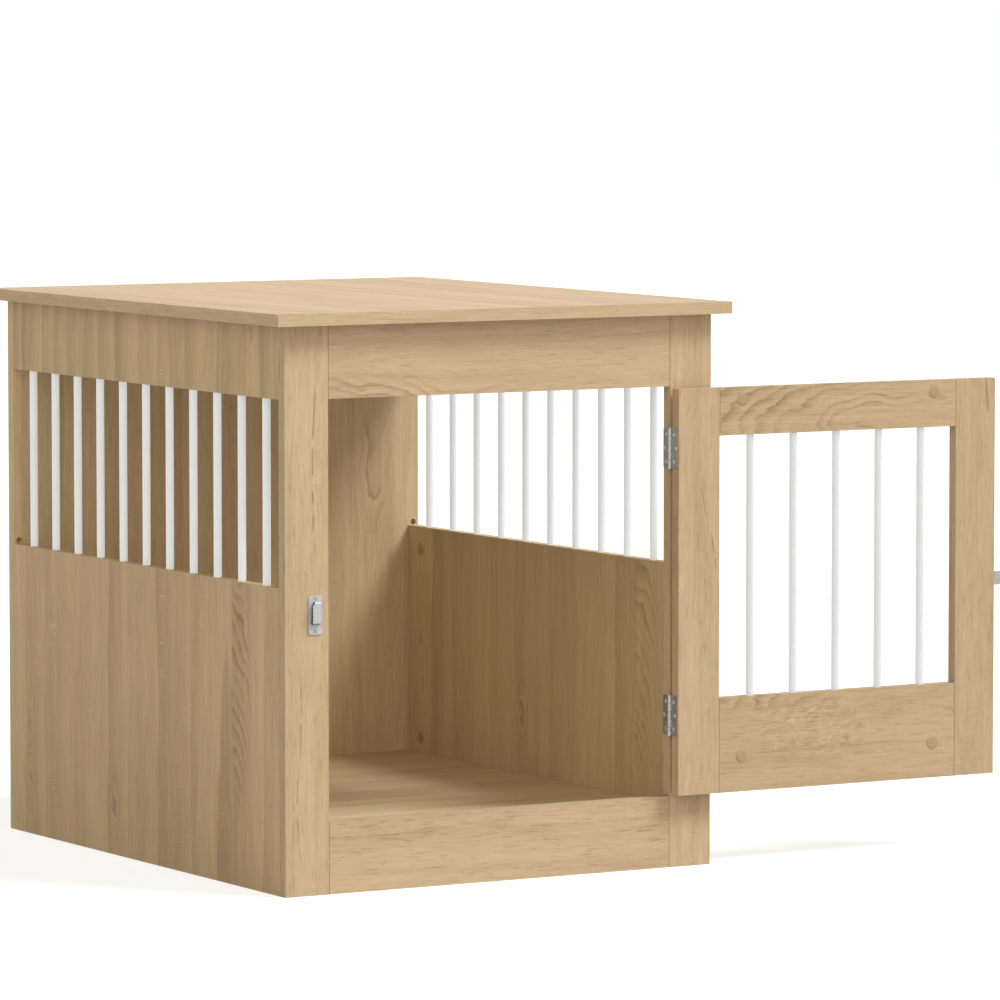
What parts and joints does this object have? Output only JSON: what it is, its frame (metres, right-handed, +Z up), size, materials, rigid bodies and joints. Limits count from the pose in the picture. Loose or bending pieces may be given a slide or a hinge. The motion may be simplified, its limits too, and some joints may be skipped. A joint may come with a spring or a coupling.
{
  "type": "dog crate end table",
  "caption": "Board-built end table with a pet cabin inside: barred side windows, a barred front door on butt hinges, and a slide bolt that throws into a keeper.",
  "frame": {"origin": "on the floor, at the middle of the front bottom rail's underside", "axes": "+X to the right as seen from the front, +Y from the front to the back, +Z up"},
  "size_m": [1.068, 0.801, 0.71],
  "materials": {
    "oak_board": "light sawn-oak laminate on 15 mm board, fine grain, matt",
    "cam_cap": "oak-toned cap over the cam lock's drum, matt",
    "white_bar": "white powder coat, satin",
    "zinc_plate": "zinc plate, satin"
  },
  "bodies": {
    "cabinet": {"top_panel": "oak_board", "front_stile_left": "oak_board", "front_stile_right": "oak_board", "front_rail_top": "oak_board", "front_rail_bottom": "oak_board", "floor_panel": "oak_board", "back_panel": "oak_board", "side_panel_left": "oak_board", "side_panel_left_cam_01": "cam_cap", "side_panel_left_cam_02": "cam_cap", "side_rail_left": "oak_board", "side_bar_left_01": "white_bar", "side_bar_left_02": "white_bar", "side_bar_left_03": "white_bar", "side_bar_left_04": "white_bar", "side_bar_left_05": "white_bar", "side_bar_left_06": "white_bar", "side_bar_left_07": "white_bar", "side_bar_left_08": "white_bar", "side_bar_left_09": "white_bar", "side_bar_left_10": "white_bar", "side_bar_left_11": "white_bar", "side_panel_right": "oak_board", "side_panel_right_cam_01": "cam_cap", "side_panel_right_cam_02": "cam_cap", "side_rail_right": "oak_board", "side_bar_right_01": "white_bar", "side_bar_right_02": "white_bar", "side_bar_right_03": "white_bar", "side_bar_right_04": "white_bar", "side_bar_right_05": "white_bar", "side_bar_right_06": "white_bar", "side_bar_right_07": "white_bar", "side_bar_right_08": "white_bar", "side_bar_right_09": "white_bar", "side_bar_right_10": "white_bar", "side_bar_right_11": "white_bar", "hinge_upper_frame_leaf": "zinc_plate", "hinge_upper_pin": "zinc_plate", "hinge_lower_frame_leaf": "zinc_plate", "hinge_lower_pin": "zinc_plate", "bolt_keeper": "zinc_plate"},
    "door": {"door_stile_hinge": "oak_board", "door_stile_latch": "oak_board", "door_rail_bottom": "oak_board", "door_rail_bottom_cam_01": "cam_cap", "door_rail_bottom_cam_02": "cam_cap", "door_rail_top": "oak_board", "door_rail_top_cam_01": "cam_cap", "door_rail_top_cam_02": "cam_cap", "door_bar_01": "white_bar", "door_bar_02": "white_bar", "door_bar_03": "white_bar", "door_bar_04": "white_bar", "door_bar_05": "white_bar", "hinge_upper_door_leaf": "zinc_plate", "hinge_lower_door_leaf": "zinc_plate", "bolt_guide": "zinc_plate"},
    "bolt": {"slide_bolt": "zinc_plate", "bolt_knob": "zinc_plate"}
  },
  "joints": [
    {"name": "door_swing", "type": "hinge", "parent": "cabinet", "child": "door", "pos_m": [0.2415, -0.0105, 0.3475], "axis": [0, 0, -1], "range_deg": [0, 180]},
    {"name": "bolt_slide", "type": "slide", "parent": "door", "child": "bolt", "axis": [-1, 0, 0], "range_m": [0, 0.025]}
  ]
}
